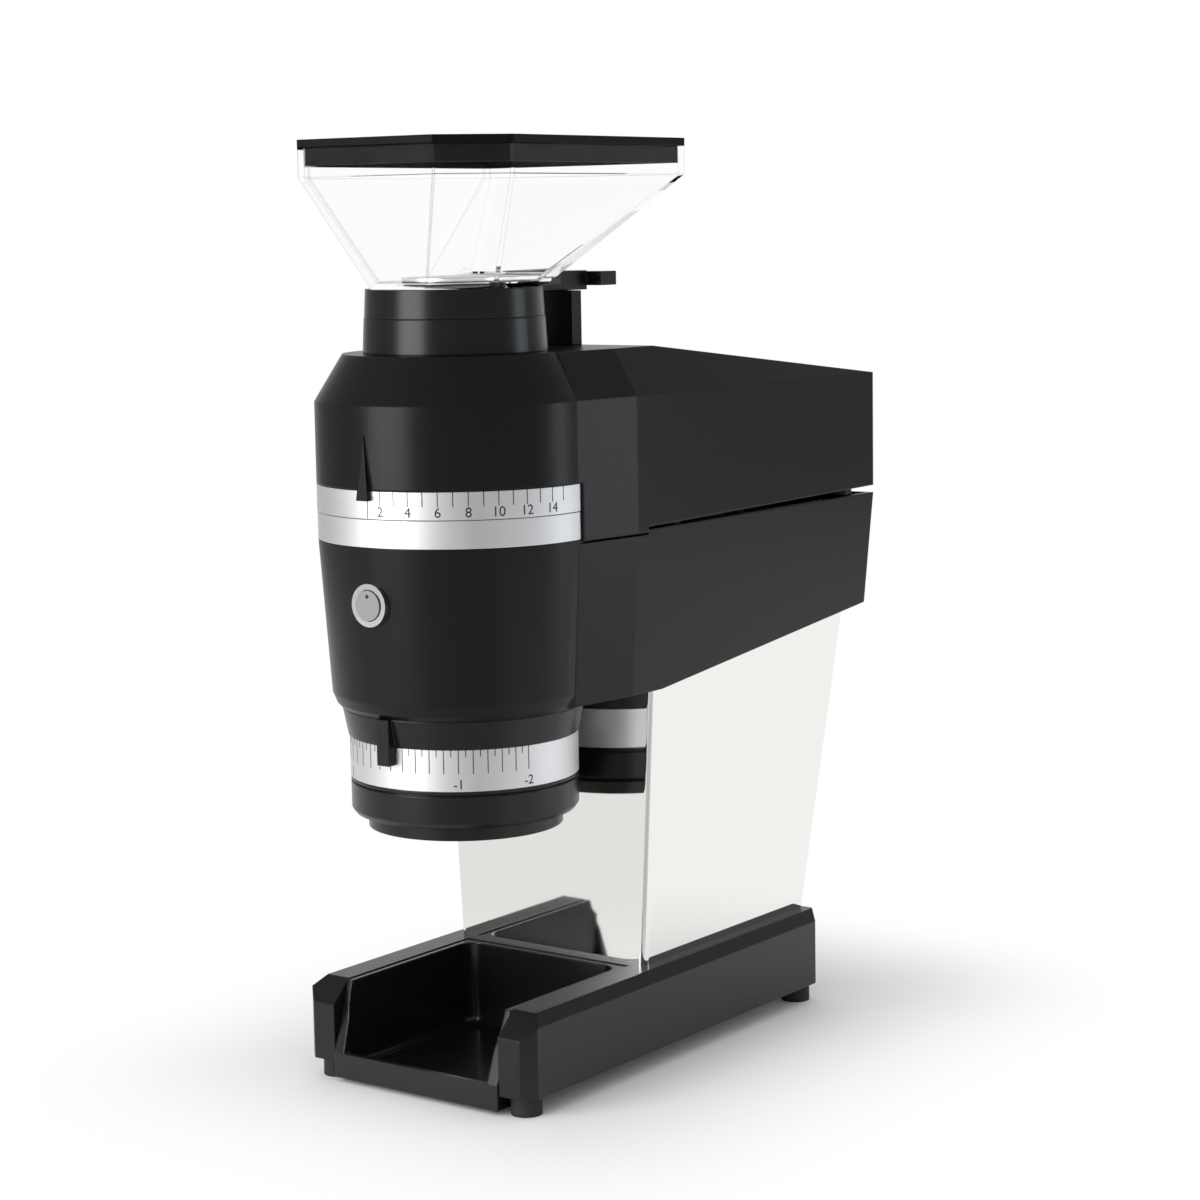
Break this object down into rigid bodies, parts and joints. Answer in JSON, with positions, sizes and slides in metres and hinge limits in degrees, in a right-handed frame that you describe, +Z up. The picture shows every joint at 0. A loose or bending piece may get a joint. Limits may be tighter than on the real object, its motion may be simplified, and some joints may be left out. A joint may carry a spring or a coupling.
{
  "type": "burr coffee grinder",
  "caption": "Free-standing burr coffee grinder: railed base with tray, polished column, black head with two adjusting rings, push button, clear faceted hopper and lid.",
  "frame": {"origin": "centre of the overall bounding box in plan, at table level", "axes": "+Z up, +X to the right seen from the front, front toward -Y"},
  "size_m": [0.122, 0.282, 0.3836],
  "materials": {
    "base_black": "satin black",
    "tray_black": "gloss black",
    "rubber": "matt",
    "polished_steel": "mirror polished",
    "head_black": "satin black",
    "black_plastic": "satin black",
    "dial_aluminium": "satin turned",
    "bright_chrome": "polished",
    "cap_silver": "satin",
    "clear_plastic": "clear, polished",
    "plain_steel": "plain",
    "cast_aluminium": "cast",
    "motor_grey": "plain",
    "board_green": "lacquered",
    "board_parts": "plain"
  },
  "bodies": {
    "body": {"base_frame": "base_black", "bottom_plate": "plain_steel", "rubber_feet": "rubber", "foot_screws": "plain_steel", "column_shell": "polished_steel", "column_back_panel": "polished_steel", "power_inlet": "black_plastic", "column_spine": "plain_steel", "board_standoffs": "board_parts", "control_board": "board_green", "board_relay": "board_parts", "board_capacitor": "board_parts", "lower_housing": "head_black", "upper_cover": "head_black", "cover_screws": "plain_steel", "trim_ring": "dial_aluminium", "index_collar": "black_plastic", "chamber_sleeve": "cast_aluminium", "neck_lower_ring": "black_plastic", "neck_upper_ring": "black_plastic", "latch_post": "black_plastic", "button_bezel": "bright_chrome", "button_switch": "black_plastic", "chassis_plate": "plain_steel", "upper_bearing": "plain_steel", "motor_case": "motor_grey", "motor_screws": "plain_steel", "drive_belt": "rubber"},
    "coarse_ring": {"coarse_dial": "dial_aluminium"},
    "carrier": {"burr_carrier": "cast_aluminium", "outer_burr": "plain_steel"},
    "fine_ring": {"fine_dial": "dial_aluminium", "grip_ring": "black_plastic", "spout": "black_plastic"},
    "burr_lift": {"bearing_bridge": "cast_aluminium", "lower_bearing": "plain_steel"},
    "burr": {"burr_shaft": "plain_steel", "inner_burr": "plain_steel", "burr_nut": "plain_steel", "burr_pulley": "cast_aluminium"},
    "motor_rotor": {"motor_shaft": "plain_steel", "motor_armature": "motor_grey", "motor_pulley": "cast_aluminium"},
    "button": {"button_cap": "cap_silver"},
    "hopper": {"hopper_body": "clear_plastic"},
    "gate": {"gate_slide": "black_plastic"},
    "lid": {"hopper_lid": "black_plastic"},
    "tray": {"grounds_tray": "tray_black", "tray_glides": "rubber"}
  },
  "joints": [
    {"name": "coarse_turn", "type": "hinge", "parent": "body", "child": "coarse_ring", "pos_m": [0, -0.0815, 0.2426], "axis": [0, 0, 1], "range_deg": [-79, 5]},
    {"name": "carrier_feed", "type": "slide", "parent": "body", "child": "carrier", "axis": [0, 0, 1], "range_m": [-0.00006, 0.0007]},
    {"name": "fine_turn", "type": "hinge", "parent": "body", "child": "fine_ring", "pos_m": [0, -0.0815, 0.1375], "axis": [0, 0, 1], "range_deg": [-72, 72]},
    {"name": "burr_feed", "type": "slide", "parent": "body", "child": "burr_lift", "axis": [0, 0, 1], "range_m": [-0.00031, 0.00031]},
    {"name": "burr_spin", "type": "hinge", "parent": "burr_lift", "child": "burr", "pos_m": [0, -0.0815, 0.2225], "axis": [0, 0, 1], "continuous": true},
    {"name": "motor_spin", "type": "hinge", "parent": "body", "child": "motor_rotor", "pos_m": [0, 0.0685, 0.214], "axis": [0, 0, 1], "continuous": true},
    {"name": "button_press", "type": "slide", "parent": "body", "child": "button", "axis": [0, 1, 0], "range_m": [0, 0.002], "stiffness_N_per_m": 400},
    {"name": "hopper_lift", "type": "slide", "parent": "body", "child": "hopper", "axis": [0, 0, 1], "range_m": [0, 0.06]},
    {"name": "gate_pull", "type": "slide", "parent": "hopper", "child": "gate", "axis": [0, 1, 0], "range_m": [0, 0.046]},
    {"name": "lid_lift", "type": "slide", "parent": "hopper", "child": "lid", "axis": [0, 0, 1], "range_m": [0, 0.04]},
    {"name": "tray_pull", "type": "slide", "parent": "body", "child": "tray", "axis": [0, -1, 0], "range_m": [0, 0.095]}
  ],
  "couplings": [
    {"joint": "carrier_feed", "follows": "coarse_turn", "m_per_rad": -0.000477},
    {"joint": "burr_feed", "follows": "fine_turn", "m_per_rad": 0.000239},
    {"joint": "motor_spin", "follows": "burr_spin", "ratio": 2.3636}
  ]
}
